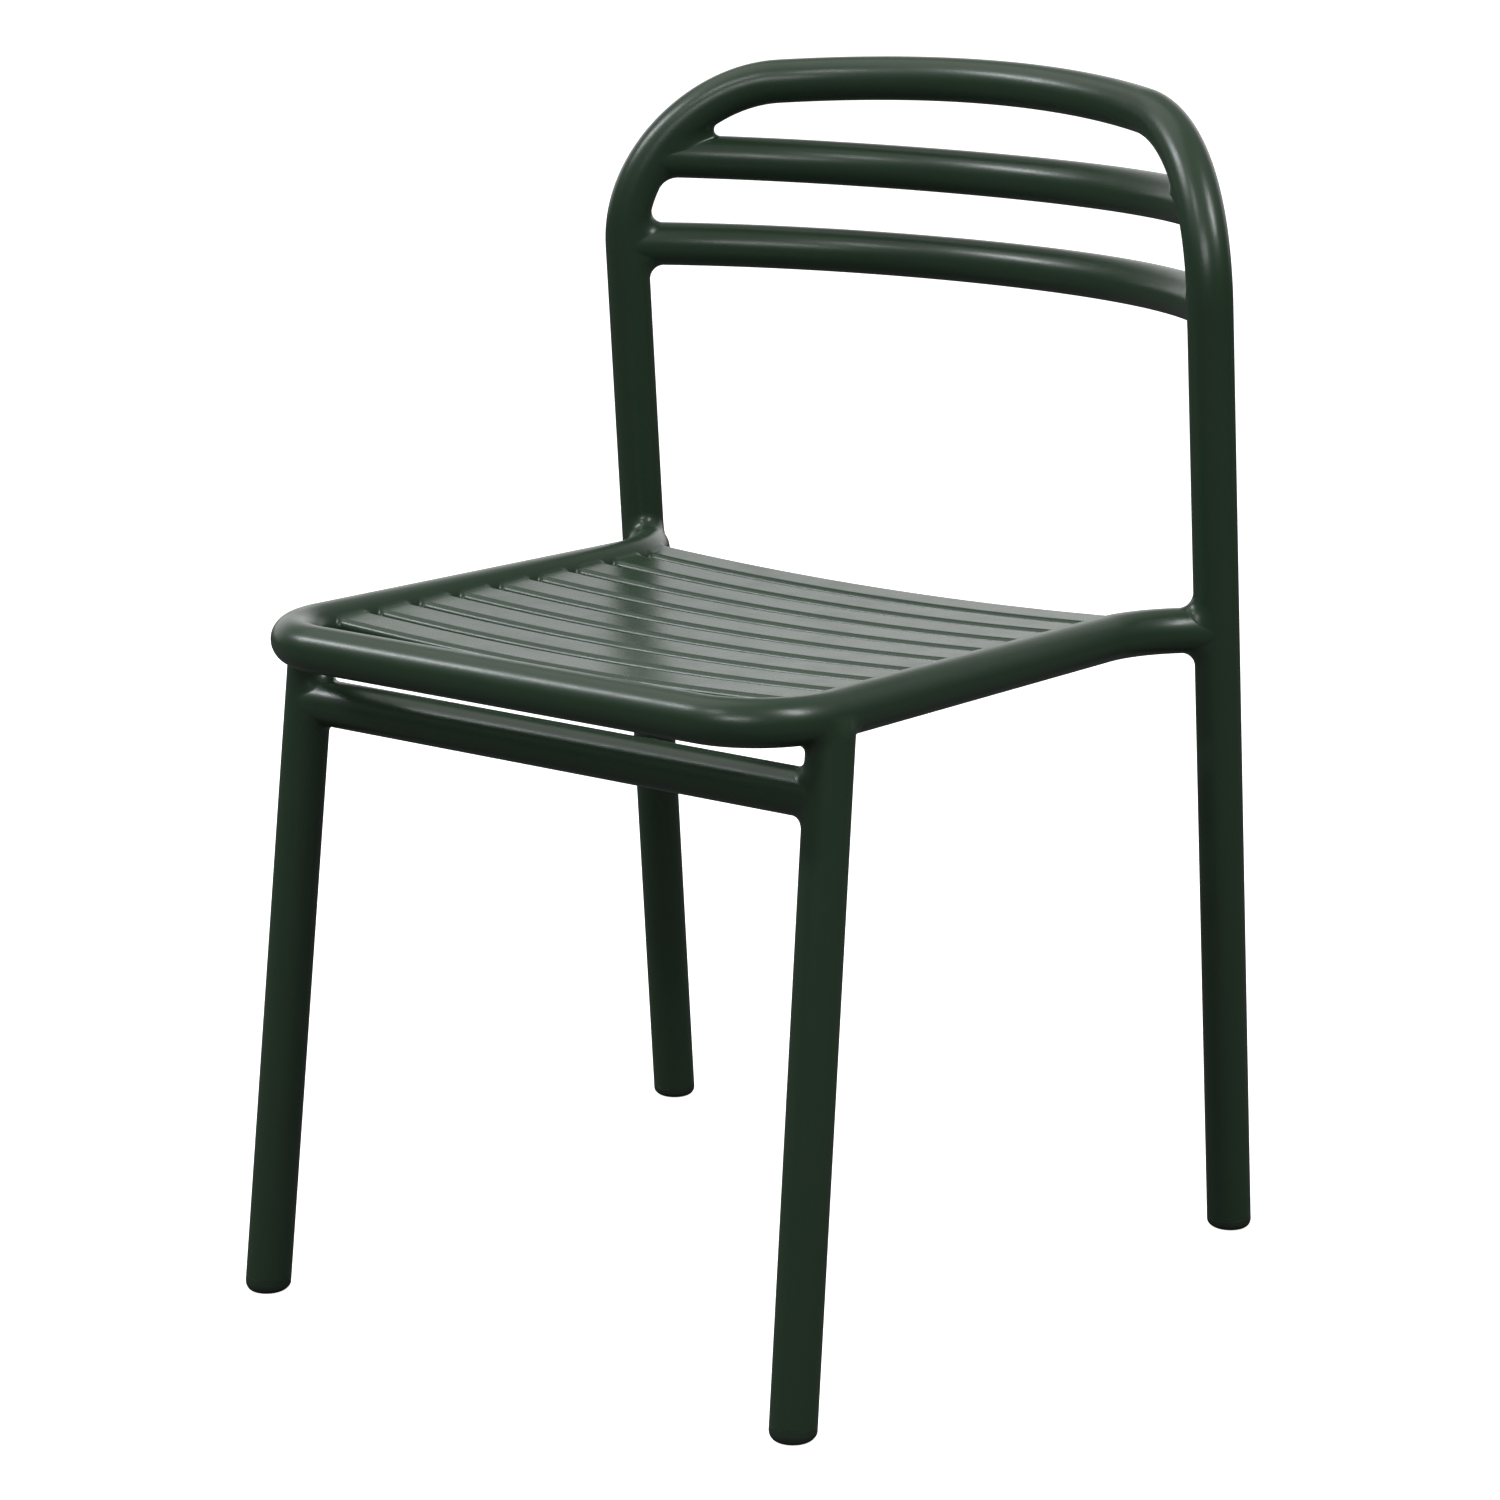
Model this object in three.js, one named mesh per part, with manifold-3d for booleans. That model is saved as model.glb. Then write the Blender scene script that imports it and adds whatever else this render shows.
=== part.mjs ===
// Stacking chair welded from round aluminium tube, with a slatted, gently dished seat.
// Units are millimetres, +Z is up, the sitter faces -Y, and the chair is symmetric in X.
// The origin is on the floor, under the middle of the chair's bounding box.
// left and right are the sitter's: left is +X.

import * as THREE from "three";
import { mergeVertices } from "three/addons/utils/BufferGeometryUtils.js";
import Module from "manifold-3d";

const wasm = await Module();
wasm.setup();

// Tube, the same stock everywhere
const tubeRadius = 15;
const tubeWall = 2;
const boreRadius = tubeRadius - tubeWall;
const tubeSides = 16;
const clearance = 0.3; // between a coped end and the tube it is welded to

// Back hoop: one tube from foot to foot, its legs straight and raked, its crown bowed back
const rearFootX = 238;
const rearFootY = 216.3;
const rearRake = 0.0834; // forward travel per unit of height
const shoulderX = 236;
const crownZ = 760.5;
const crownDrop = 15.1; // fall of the crown from its middle to the shoulder
const crownBow = 104.8; // how far the crown's middle stands behind its shoulders
const shoulderDown = 105; // length of the shoulder bend along the leg
const shoulderIn = 88; // length of the shoulder bend along the crown

// Back rails
const upperRailZ = 702.6;
const lowerRailZ = 641.2;
const railSag = 5.8; // the rails' middles hang below their ends

// Seat frame: one tube from rear leg to rear leg, round the front of the seat
const frontRailY = -267.9;
const frontRailZ = 442.6;
const seatFrontX = 201;
const seatRearX = 198.4;
const seatFall = 0.0407; // fall towards the back per unit of depth
const cornerAcross = 52; // length of the front corner bend along the front rail
const cornerBack = 60.5; // length of the front corner bend along the side rail
const flareStartY = 103.9; // where the side rails start to bend out to the rear legs
const flareRadius = 97;
const flareAngle = THREE.MathUtils.degToRad(50);

// Front legs and the straight rail between them
const frontLegTop = new THREE.Vector3(204.4, -211.7, 433.4);
const frontFoot = new THREE.Vector3(213.2, -261.5, 0);
const apronZ = 392.6;

// Seat slats: flat-oval tube
const slatCount = 9;
const slatWidth = 30;
const slatThickness = 10;
const slatWall = 1.5;
const slatEdgeSegments = 3;
const firstSlatY = -192.8; // centreline of the front slat
const slatPitch = 40.9;
const slatTopRise = 8.1; // top of a slat's ends above the side rails' centreline
const slatDish = 6.8;

// Foot glides: moulded caps plugged into the tube ends
const glideHead = 9; // height of the part below the tube, along the leg
const glideEdge = 5; // radius round the glide's sole
const glideStem = 18;

const bendSegments = 10;
const crownSegments = 5;
const flareSegments = 6;
const railSegments = 14;
const slatSegments = 8;
const glideSides = 20;
const bezierRound = 0.5523; // handle length that makes a cubic curve follow a round bend

const green = 0x2b3c2f;
const slatGreen = 0x33453a;
const glideGreen = 0x1c241f;

// A centreline given as stations. Each station becomes one section of the tube.
class StationPath extends THREE.Curve {
  constructor(stations) {
    super();
    this.stations = stations;
  }

  getPoint(t, target = new THREE.Vector3()) {
    const last = this.stations.length - 1;
    const index = Math.min(Math.floor(t * last), last - 1);
    return target.lerpVectors(this.stations[index], this.stations[index + 1], t * last - index);
  }

  getPointAt(u, target) {
    return this.getPoint(u, target);
  }

  getTangentAt(u, target = new THREE.Vector3()) {
    const halfStep = 0.5 / (this.stations.length - 1);
    const before = this.getPoint(Math.max(0, u - halfStep));
    const after = this.getPoint(Math.min(1, u + halfStep));
    return target.subVectors(after, before).normalize();
  }
}

// three.js geometry to solid and back

function solidOf(geometry) {
  const bare = geometry.index ? geometry.toNonIndexed() : geometry.clone();
  bare.deleteAttribute("normal");
  bare.deleteAttribute("uv");
  const merged = mergeVertices(bare, 1e-3);
  const mesh = new wasm.Mesh({
    numProp: 3,
    vertProperties: merged.attributes.position.array,
    triVerts: new Uint32Array(merged.index.array),
  });
  return new wasm.Manifold(mesh);
}

function geometryOf(solid) {
  const mesh = solid.getMesh();
  const geometry = new THREE.BufferGeometry();
  geometry.setAttribute("position", new THREE.BufferAttribute(mesh.vertProperties, 3));
  geometry.setIndex(new THREE.BufferAttribute(mesh.triVerts, 1));
  geometry.computeVertexNormals();
  return geometry;
}

// Coping can leave a crumb of tube beyond the neighbour, so the largest body is the piece.
function largestBody(solid) {
  const bodies = solid.decompose();
  return bodies.reduce((best, body) => (body.volume() > best.volume() ? body : best));
}

// Sections and sweeps

function roundSection(radius, sides = tubeSides) {
  const corners = [];
  for (let i = 0; i < sides; i += 1) {
    const angle = (i / sides) * 2 * Math.PI;
    corners.push(new THREE.Vector2(radius * Math.cos(angle), radius * Math.sin(angle)));
  }
  return new THREE.Shape(corners);
}

// A flat bar with fully round edges, lying across the seat: width along Y, thickness along Z.
function flatOvalSection(width, thickness) {
  const radius = thickness / 2;
  const corners = [];
  for (const side of [1, -1]) {
    for (let i = 0; i <= slatEdgeSegments; i += 1) {
      const angle = (i / slatEdgeSegments - 0.5) * Math.PI;
      const across = side * (width / 2 - radius + radius * Math.cos(angle));
      corners.push(new THREE.Vector2(across, side * radius * Math.sin(angle)));
    }
  }
  return new THREE.Shape(corners);
}

function sweep(section, stations) {
  const settings = { steps: stations.length - 1, extrudePath: new StationPath(stations) };
  return solidOf(new THREE.ExtrudeGeometry(section, settings));
}

// The path with its first and last stations pushed outwards, for bores and cutters.
function lengthened(stations, extra) {
  const path = new StationPath(stations);
  const longer = stations.map((station) => station.clone());
  longer[0].addScaledVector(path.getTangentAt(0), -extra);
  longer[longer.length - 1].addScaledVector(path.getTangentAt(1), extra);
  return longer;
}

// A tube along stations: coped to its neighbours, then bored through.
function copedTube(stations, neighbours) {
  let tube = sweep(roundSection(tubeRadius), stations);
  for (const neighbour of neighbours) tube = tube.subtract(neighbour);
  tube = largestBody(tube);
  return largestBody(tube.subtract(sweep(roundSection(boreRadius), lengthened(stations, 1))));
}

// The space that pieces welded to a tube must stay out of.
function copingCutter(stations) {
  return sweep(roundSection(tubeRadius + clearance, 2 * tubeSides), stations);
}

// Stations

function mirrored(stations) {
  return stations.map((station) => new THREE.Vector3(-station.x, station.y, station.z));
}

// Right half then left half, sharing the station in the middle.
function bothSides(rightToMiddle) {
  return [...rightToMiddle, ...mirrored(rightToMiddle).reverse().slice(1)];
}

function rearLegX(z) {
  return rearFootX + ((shoulderX - rearFootX) * z) / (crownZ - crownDrop);
}

function rearLegY(z) {
  return rearFootY - rearRake * z;
}

// A circular bow: how far a point x from the middle stands behind the ends at +-halfWidth.
function bowAt(x, halfWidth, bow) {
  const radius = (halfWidth * halfWidth + bow * bow) / (2 * bow);
  return Math.sqrt(radius * radius - x * x) - (radius - bow);
}

function crownHeight(x) {
  return crownZ - crownDrop * (x / shoulderX) ** 2;
}

// A round bend between two straights, drawn in a plane: from start, past corner, to end.
function bend(start, corner, end, segments) {
  const handleIn = start.clone().lerp(corner, bezierRound);
  const handleOut = end.clone().lerp(corner, bezierRound);
  return new THREE.CubicBezierCurve(start, handleIn, handleOut, end).getPoints(segments);
}

// The hoop seen from the front, from a foot to the middle of the crown.
function hoopOutline() {
  const foot = new THREE.Vector2(rearFootX, 0);
  const shoulder = new THREE.Vector2(shoulderX, crownZ - crownDrop);
  const up = shoulder.clone().sub(foot).normalize();
  const bendStart = shoulder.clone().addScaledVector(up, -shoulderDown);
  const bendEndX = shoulderX - shoulderIn;
  const bendEnd = new THREE.Vector2(bendEndX, crownHeight(bendEndX));
  const crownSlope = (-2 * crownDrop * bendEndX) / shoulderX ** 2;
  const cornerZ = bendEnd.y + crownSlope * (shoulderX - bendEndX);
  const corner = new THREE.Vector2(shoulderX, cornerZ);
  const outline = [foot, ...bend(bendStart, corner, bendEnd, bendSegments)];
  for (let i = 1; i <= crownSegments; i += 1) {
    const x = bendEndX * (1 - i / crownSegments);
    outline.push(new THREE.Vector2(x, crownHeight(x)));
  }
  return outline;
}

// The back's surface: raked with the legs and bowed back between them.
function backY(x, z) {
  const legBow = bowAt(rearLegX(z), shoulderX, crownBow);
  return rearLegY(z) + bowAt(x, shoulderX, crownBow) - legBow;
}

function hoopHalf() {
  return hoopOutline().map(({ x, y: z }) => new THREE.Vector3(x, backY(x, z), z));
}

// Half the hoop's width at a height, between its centrelines.
function hoopHalfWidth(z) {
  const outline = hoopOutline();
  const above = outline.findIndex((point) => point.y > z);
  const [low, high] = [outline[above - 1], outline[above]];
  return low.x + ((high.x - low.x) * (z - low.y)) / (high.y - low.y);
}

function backRailStations(z) {
  const end = hoopHalfWidth(z);
  const stations = [];
  for (let i = 0; i <= railSegments; i += 1) {
    const share = 1 - (2 * i) / railSegments;
    const sagged = z - railSag * (1 - share * share);
    stations.push(new THREE.Vector3(end * share, backY(end * share, z), sagged));
  }
  return stations;
}

function sideRailX(y) {
  const along = (y - frontRailY) / (flareStartY - frontRailY);
  return seatFrontX + (seatRearX - seatFrontX) * along;
}

function seatRailZ(y) {
  return frontRailZ - seatFall * (y - frontRailY);
}

// The seat frame from above, from a rear leg to the middle of the front rail.
function seatFrameHalf() {
  const outline = [];
  for (let i = 0; i < flareSegments; i += 1) {
    const angle = flareAngle * (1 - i / flareSegments);
    const x = seatRearX + flareRadius * (1 - Math.cos(angle));
    outline.push(new THREE.Vector2(x, flareStartY + flareRadius * Math.sin(angle)));
  }
  outline.push(new THREE.Vector2(seatRearX, flareStartY));
  const cornerStartY = frontRailY + cornerBack;
  const bendStart = new THREE.Vector2(sideRailX(cornerStartY), cornerStartY);
  const corner = new THREE.Vector2(seatFrontX, frontRailY);
  const bendEnd = new THREE.Vector2(seatFrontX - cornerAcross, frontRailY);
  outline.push(...bend(bendStart, corner, bendEnd, bendSegments));
  outline.push(new THREE.Vector2(0, frontRailY));
  return outline.map(({ x, y }) => new THREE.Vector3(x, y, seatRailZ(y)));
}

function frontLegPoint(z) {
  return frontFoot.clone().lerp(frontLegTop, z / frontLegTop.z);
}

function slatStations(y) {
  const halfSpan = y + slatWidth / 2 > flareStartY ? flaredRailX(y) : sideRailX(y);
  const endZ = seatRailZ(y) + slatTopRise - slatThickness / 2;
  const stations = [];
  for (let i = 0; i <= slatSegments; i += 1) {
    const share = 1 - (2 * i) / slatSegments;
    const z = endZ - slatDish * (1 - share * share);
    stations.push(new THREE.Vector3(halfSpan * share, y, z));
  }
  return stations;
}

// The side rail's centreline where it bends out towards the rear leg.
function flaredRailX(y) {
  const angle = Math.asin(Math.max(0, y - flareStartY) / flareRadius);
  return seatRearX + flareRadius * (1 - Math.cos(angle));
}

// Pieces

const hoopStations = bothSides(hoopHalf());
const seatFrameStations = bothSides(seatFrameHalf());
const hoopCutter = copingCutter(hoopStations);
const seatFrameCutter = copingCutter(seatFrameStations);

// Everything below a height, so that legs end square above their glides.
function footCutter(foot, direction) {
  const depth = 60;
  const block = new THREE.BoxGeometry(4 * tubeRadius, 4 * tubeRadius, depth);
  const turn = new THREE.Quaternion().setFromUnitVectors(new THREE.Vector3(0, 0, 1), direction);
  const centre = foot.clone().addScaledVector(direction, glideHead - depth / 2);
  block.applyQuaternion(turn);
  block.translate(centre.x, centre.y, centre.z);
  return solidOf(block);
}

function rearLegDirection(side) {
  const top = new THREE.Vector3(side * rearLegX(1), rearLegY(1), 1);
  return top.sub(new THREE.Vector3(side * rearLegX(0), rearLegY(0), 0)).normalize();
}

function frontLegDirection(side) {
  const direction = frontLegTop.clone().sub(frontFoot).normalize();
  direction.x *= side;
  return direction;
}

function sidePoint(point, side) {
  return new THREE.Vector3(side * point.x, point.y, point.z);
}

function backHoop() {
  const rearFoot = new THREE.Vector3(rearFootX, rearFootY, 0);
  const cutters = [1, -1].map((side) => footCutter(sidePoint(rearFoot, side), rearLegDirection(side)));
  return copedTube(lengthened(hoopStations, 1), cutters);
}

function backRail(z) {
  return copedTube(backRailStations(z), [hoopCutter]);
}

function seatFrame() {
  return copedTube(seatFrameStations, [hoopCutter]);
}

function frontLeg(side) {
  const foot = sidePoint(frontFoot, side);
  const stations = [sidePoint(frontLegTop, side), foot];
  return copedTube(stations, [seatFrameCutter, footCutter(foot, frontLegDirection(side))]);
}

function frontApron() {
  const end = frontLegPoint(apronZ);
  const legCutters = [1, -1].map((side) =>
    copingCutter([sidePoint(frontLegTop, side), sidePoint(frontFoot, side)]),
  );
  return copedTube([end, sidePoint(end, -1)], legCutters);
}

function seatSlat(y) {
  const stations = slatStations(y);
  const bar = sweep(flatOvalSection(slatWidth, slatThickness), stations);
  const inner = flatOvalSection(slatWidth - 2 * slatWall, slatThickness - 2 * slatWall);
  const bore = sweep(inner, lengthened(stations, 1));
  return largestBody(bar.subtract(bore).subtract(seatFrameCutter));
}

// A glide: a stem in the tube's bore, a head flush with the tube, and a rounded sole cut flat.
function footGlide(foot, direction) {
  const stemRadius = boreRadius - clearance;
  const sole = -2;
  const profile = [new THREE.Vector2(0, sole)];
  for (let i = 0; i <= 4; i += 1) {
    const angle = (i / 4 - 1) * (Math.PI / 2);
    const radius = tubeRadius - glideEdge + glideEdge * Math.cos(angle);
    profile.push(new THREE.Vector2(radius, glideEdge + sole / 2 + glideEdge * Math.sin(angle)));
  }
  const shoulder = glideHead - clearance;
  profile.push(new THREE.Vector2(tubeRadius, shoulder));
  profile.push(new THREE.Vector2(stemRadius, shoulder));
  profile.push(new THREE.Vector2(stemRadius, shoulder + glideStem));
  profile.push(new THREE.Vector2(0, shoulder + glideStem));
  const glide = new THREE.LatheGeometry(profile, glideSides);
  glide.applyQuaternion(new THREE.Quaternion().setFromUnitVectors(new THREE.Vector3(0, 1, 0), direction));
  glide.translate(foot.x, foot.y, foot.z);
  const floor = new THREE.BoxGeometry(6 * tubeRadius, 6 * tubeRadius, 20);
  floor.translate(foot.x, foot.y, -10);
  return largestBody(solidOf(glide).subtract(solidOf(floor)));
}

// Assembly

const chair = new THREE.Group();

function addPiece(name, solid, color, roughness, metalness) {
  const material = new THREE.MeshStandardMaterial({ color, roughness, metalness });
  const mesh = new THREE.Mesh(geometryOf(solid), material);
  mesh.name = name;
  chair.add(mesh);
}

function addTube(name, solid) {
  addPiece(name, solid, green, 0.45, 0.3);
}

addTube("back_hoop", backHoop());
addTube("upper_back_rail", backRail(upperRailZ));
addTube("lower_back_rail", backRail(lowerRailZ));
addTube("seat_frame", seatFrame());
addTube("front_apron", frontApron());

for (const [label, side] of [["left", 1], ["right", -1]]) {
  addTube(`front_leg_${label}`, frontLeg(side));
  const rearFoot = new THREE.Vector3(side * rearFootX, rearFootY, 0);
  const frontGlide = footGlide(sidePoint(frontFoot, side), frontLegDirection(side));
  const rearGlide = footGlide(rearFoot, rearLegDirection(side));
  addPiece(`front_glide_${label}`, frontGlide, glideGreen, 0.7, 0);
  addPiece(`rear_glide_${label}`, rearGlide, glideGreen, 0.7, 0);
}

for (let i = 0; i < slatCount; i += 1) {
  const name = `seat_slat_${String(i + 1).padStart(2, "0")}`;
  addPiece(name, seatSlat(firstSlatY + i * slatPitch), slatGreen, 0.45, 0.3);
}

export default chair;
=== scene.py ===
# Welded tube stacking chair with a slatted seat, powder coated all over.
# Metres, +Z up, the sitter faces -Y, left is the sitter's left (+X).
import math

import bpy
import numpy as np
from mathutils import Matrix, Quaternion, Vector


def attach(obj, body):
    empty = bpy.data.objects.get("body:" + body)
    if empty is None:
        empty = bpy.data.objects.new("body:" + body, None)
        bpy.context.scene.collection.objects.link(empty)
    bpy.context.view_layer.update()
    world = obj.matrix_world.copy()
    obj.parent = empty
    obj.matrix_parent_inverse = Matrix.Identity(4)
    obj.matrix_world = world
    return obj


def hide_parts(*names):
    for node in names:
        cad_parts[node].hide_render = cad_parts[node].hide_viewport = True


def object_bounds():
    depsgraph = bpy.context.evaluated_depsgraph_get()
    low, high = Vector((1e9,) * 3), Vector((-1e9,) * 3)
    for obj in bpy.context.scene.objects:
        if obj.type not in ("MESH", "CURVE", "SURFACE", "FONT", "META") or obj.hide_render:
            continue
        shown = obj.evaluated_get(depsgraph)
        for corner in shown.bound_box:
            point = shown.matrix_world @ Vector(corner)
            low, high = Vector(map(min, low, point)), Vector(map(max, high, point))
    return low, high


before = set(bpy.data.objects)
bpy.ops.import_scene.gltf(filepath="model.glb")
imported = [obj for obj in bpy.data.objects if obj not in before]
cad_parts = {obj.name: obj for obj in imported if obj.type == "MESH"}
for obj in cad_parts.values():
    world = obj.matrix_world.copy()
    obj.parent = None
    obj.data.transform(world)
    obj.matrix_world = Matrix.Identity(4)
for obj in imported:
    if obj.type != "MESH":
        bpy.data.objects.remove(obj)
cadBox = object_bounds()
print("frame loaded:", len(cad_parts), "parts")

tubeStock = {
    "radius": 0.015,
    "wall": 0.002,
    "sides": 64,
    "copeSpan": 0.045,  # the length at each end that stretches to meet the cope
    "copeStep": 0.0005,  # step of the search for the neighbour
    "overrun": 0.012,  # how far past its end a line is followed to find the neighbour
    "weldDepth": 0.0008,  # how far a coped end reaches into its neighbour's wall
    "clearBy": 0.001,  # a line this far clear of the neighbour passes beside it
    "missedBy": 0.011,  # and stops this short, under the bead
}


# small vector helpers

def unit(v):
    return v / np.maximum(np.linalg.norm(v, axis=-1, keepdims=True), 1e-12)


def dot(a, b):
    return (a * b).sum(-1)


def smoothStep(x, low, high):
    t = np.clip((x - low) / (high - low), 0, 1)
    return t * t * (3 - 2 * t)


def mirrored(points):
    return points * np.array([-1.0, 1.0, 1.0])


# one half from its end to the middle, then the other half back out
def bothSides(half):
    return np.concatenate([half, mirrored(half)[::-1][1:]])


def cubic(start, handleIn, handleOut, end, t):
    return (
        start * (1 - t) ** 3
        + handleIn * 3 * t * (1 - t) ** 2
        + handleOut * 3 * t**2 * (1 - t)
        + end * t**3
    )


# a round bend from start, past corner, to end
def bend(start, corner, end, count):
    rounding = 0.5523  # handle length at which the curve follows a circle
    start, corner, end = (np.array(p, float) for p in (start, corner, end))
    handleIn = start + (corner - start) * rounding
    handleOut = end + (corner - end) * rounding
    return cubic(start, handleIn, handleOut, end, np.linspace(0, 1, count)[:, None])


# paths: a centreline with its run and a steady frame along it

def pathOf(points):
    points = np.array(points, float)
    keep = np.r_[True, np.linalg.norm(np.diff(points, axis=0), axis=1) > 1e-7]
    points = points[keep]
    run = np.r_[0, np.cumsum(np.linalg.norm(np.diff(points, axis=0), axis=1))]
    count = max(int(run[-1] / 0.001), 8)  # a station for each millimetre
    even = np.linspace(0, run[-1], count + 1)
    points = np.stack([np.interp(even, run, points[:, i]) for i in range(3)], 1)
    tangent = unit(np.gradient(points, even, axis=0, edge_order=2))
    normal = np.zeros_like(points)
    start = np.array([0, 0, 1.0]) if abs(tangent[0, 2]) < 0.8 else np.array([0, 1.0, 0])
    normal[0] = unit(start - tangent[0] * dot(start, tangent[0]))
    for i in range(1, len(points)):
        carried = normal[i - 1]
        normal[i] = unit(carried - tangent[i] * dot(carried, tangent[i]))
    return {
        "points": points,
        "run": even,
        "tangent": tangent,
        "normal": normal,
        "side": np.cross(tangent, normal),
    }


# the path's value at any run, carried on straight past both ends
def along(path, run, what):
    run = np.asarray(run, float)
    inside = np.clip(run, path["run"][0], path["run"][-1])
    value = np.stack([np.interp(inside, path["run"], path[what][:, i]) for i in range(3)], -1)
    if what == "points":
        return value + along(path, inside, "tangent") * (run - inside)[..., None]
    return unit(value)


# the closest point of a path, and how far off it is
def nearestOn(path, points, start=None, end=None):
    line = path["points"]
    if start is not None:
        line = line[(path["run"] >= start) & (path["run"] <= end)]
    flat = points.reshape(-1, 3)
    reach = 0.04  # stations farther off than this are left out of the search
    close = ((line > flat.min(0) - reach) & (line < flat.max(0) + reach)).all(1)
    if close.any():
        first = max(int(np.argmax(close)) - 1, 0)
        last = min(len(line) - int(np.argmax(close[::-1])) + 1, len(line))
        line = line[first:last]
    pick = ((line**2).sum(1) - 2 * flat @ line.T).argmin(1)
    best = np.full(len(flat), 1e9)
    foot = np.zeros_like(flat)
    for shift in (-1, 0):  # the two segments that share the closest station
        a = np.clip(pick + shift, 0, len(line) - 2)
        ab = line[a + 1] - line[a]
        t = np.clip(dot(flat - line[a], ab) / dot(ab, ab), 0, 1)
        q = line[a] + ab * t[:, None]
        gap = np.linalg.norm(flat - q, axis=1)
        nearer = gap < best
        best = np.where(nearer, gap, best)
        foot = np.where(nearer[:, None], q, foot)
    return best.reshape(points.shape[:-1]), foot.reshape(points.shape)


# distance to a tube's outer skin, and the skin's outward direction there
def tubeSkin(path, points, start=None, end=None):
    gap, foot = nearestOn(path, points, start, end)
    return gap - tubeStock["radius"], unit(points - foot)


# meshes

def meshOf(name, vertices, faces, normals=None):
    mesh = bpy.data.meshes.new(name)
    mesh.from_pydata(np.asarray(vertices).tolist(), [], faces)
    mesh.validate()
    mesh.update()
    mesh.shade_smooth()
    if normals is not None:
        mesh.normals_split_custom_set_from_vertices(np.asarray(normals).tolist())
    piece = bpy.data.objects.new(name, mesh)
    bpy.context.scene.collection.objects.link(piece)
    return piece


# faces of a grid of rows x ring vertices, closed round the ring
def ringFaces(rows, ring, offset=0, flipped=False):
    faces = []
    for r in range(rows - 1):
        for i in range(ring):
            a = offset + r * ring + i
            b = offset + r * ring + (i + 1) % ring
            quad = (a, b, b + ring, a + ring)
            faces.append(quad[::-1] if flipped else quad)
    return faces


# a section is four arrays: across, up, and the two parts of its normal
def roundSection(radius, sides):
    angle = np.arange(sides) / sides * 2 * math.pi
    c, s = np.cos(angle), np.sin(angle)
    return radius * c, radius * s, c, s


# the section's points at the given runs of the path
def barPoints(path, run, section):
    side, normal = along(path, run, "side"), along(path, run, "normal")
    centre = along(path, run, "points")
    return centre + side * section[0][:, None] + normal * section[1][:, None]


def barNormals(path, run, section):
    side, normal = along(path, run, "side"), along(path, run, "normal")
    return side * section[2][:, None] + normal * section[3][:, None]


# where each line first sinks to a depth, or comes closest; which lines do sink, and which pass beside
def crossingRuns(runs, gap, depth):
    inside = gap <= -depth
    hit = inside.argmax(0)
    before = np.maximum(hit - 1, 0)
    lines = np.arange(gap.shape[1])
    share = (gap[before, lines] + depth) / np.maximum(gap[before, lines] - gap[hit, lines], 1e-9)
    exact = runs[before] + (runs[hit] - runs[before]) * np.clip(share, 0, 1)
    met = inside.any(0)
    beside = smoothStep(gap.min(0), -tubeStock["weldDepth"], tubeStock["clearBy"])
    return np.where(met, exact, runs[gap.argmin(0)]), met, beside


# the run at which each line of a section ends against its neighbours, going from inside outwards
def copeRuns(path, section, fromRun, towards, skins):
    way = np.sign(towards - fromRun)
    steps = np.arange(0, abs(towards - fromRun), tubeStock["copeStep"]) * way + fromRun
    grid = barPoints(path, steps[:, None], section)
    gap = np.full(grid.shape[:2], 1e9)
    for skin in skins:
        gap = np.minimum(gap, skin(grid)[0])
    ends, met, beside = crossingRuns(steps, gap, tubeStock["weldDepth"])
    return np.where(met, ends, ends - way * tubeStock["missedBy"] * beside)


# the rows' runs for every line of a section, stretched near the ends to meet the copes
def copedRows(path, section, rows, startSkins, endSkins):
    total, span, past = path["run"][-1], tubeStock["copeSpan"], tubeStock["overrun"]
    run = np.repeat(np.asarray(rows)[:, None], len(section[0]), 1)
    if startSkins:
        first = copeRuns(path, section, span, -past, startSkins)
        run = np.where(run < span, first + run / span * (span - first), run)
    if endSkins:
        last = copeRuns(path, section, total - span, total + past, endSkins)
        near = (run - (total - span)) / span
        run = np.where(run > total - span, total - span + near * (last - total + span), run)
    return run


# a bar of any closed section along a path: walls, bore and both rims, its ends coped to the skins
def barMesh(name, path, outer, inner, rows, startSkins=(), endSkins=()):
    vertices, faces, normals = [], [], []
    ring = len(outer[0])
    size = len(rows) * ring
    for section, facing in ((outer, 1), (inner, -1)):
        run = copedRows(path, section, rows, startSkins, endSkins)
        faces += ringFaces(len(rows), ring, size * len(vertices), flipped=facing > 0)
        vertices.append(barPoints(path, run, section).reshape(-1, 3))
        normals.append(facing * barNormals(path, run, section).reshape(-1, 3))
    for i in range(ring):
        j = (i + 1) % ring
        faces.append((i, j, size + j, size + i))
        a, b = size - ring + i, size - ring + j
        faces.append((b, a, size + a, size + b))
    return meshOf(name, np.concatenate(vertices), faces, np.concatenate(normals))


# rows every coarse step on straights, and every fine step in bends and near the ends
def rowsFor(path, coarse=0.03, fine=0.004):
    bendRate = np.linalg.norm(np.gradient(path["tangent"], path["run"], axis=0), axis=1)
    wanted = np.where(bendRate > 0.15, fine, coarse)
    ends = tubeStock["copeSpan"]
    nearEnd = (path["run"] < ends) | (path["run"] > path["run"][-1] - ends)
    wanted = np.where(nearEnd, fine, wanted)
    pace = np.r_[0, np.cumsum(np.diff(path["run"]) / wanted[1:])]
    count = int(math.ceil(pace[-1]))
    return np.interp(np.linspace(0, pace[-1], count + 1), pace, path["run"])


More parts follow.
